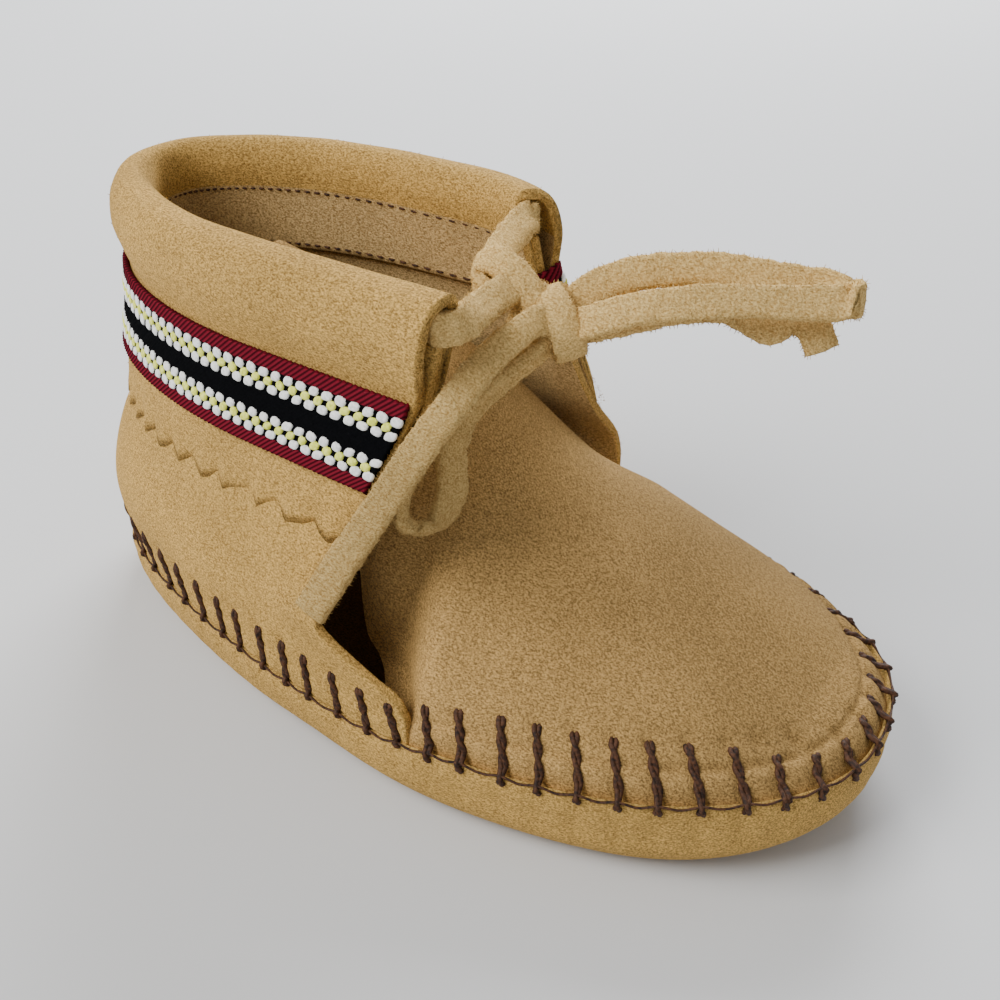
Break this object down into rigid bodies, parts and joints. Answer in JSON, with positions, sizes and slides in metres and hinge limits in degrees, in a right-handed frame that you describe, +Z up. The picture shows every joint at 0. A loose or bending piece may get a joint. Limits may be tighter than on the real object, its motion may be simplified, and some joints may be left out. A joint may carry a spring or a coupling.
{
  "type": "moccasin bootie",
  "caption": "Child's soft-soled suede moccasin bootie, right foot, with a rolled cuff, woven ankle braid, whip-stitched sole seam and a suede lace tied in a bow.",
  "frame": {"origin": "on the floor under the middle of the shoe's box, laces left out", "axes": "+X from heel to toe, +Z up from the floor, -Y towards the outer side of the right foot"},
  "size_m": [0.1386, 0.071, 0.0762],
  "materials": {
    "suede": "matte napped suede, tan",
    "inner_suede": "matte suede, darker tan",
    "braid": "woven braid in dark red, black, white and yellow"
  },
  "bodies": {
    "root": {"sole": "suede", "insole": "inner_suede", "upper": "suede", "cuff": "suede", "braid_band": "braid", "lace_collar": "suede", "lace_knot": "suede", "lace_loop_far": "suede", "lace_loop_near": "suede", "lace_end_near": "suede", "lace_end_far": "suede"}
  },
  "joints": []
}
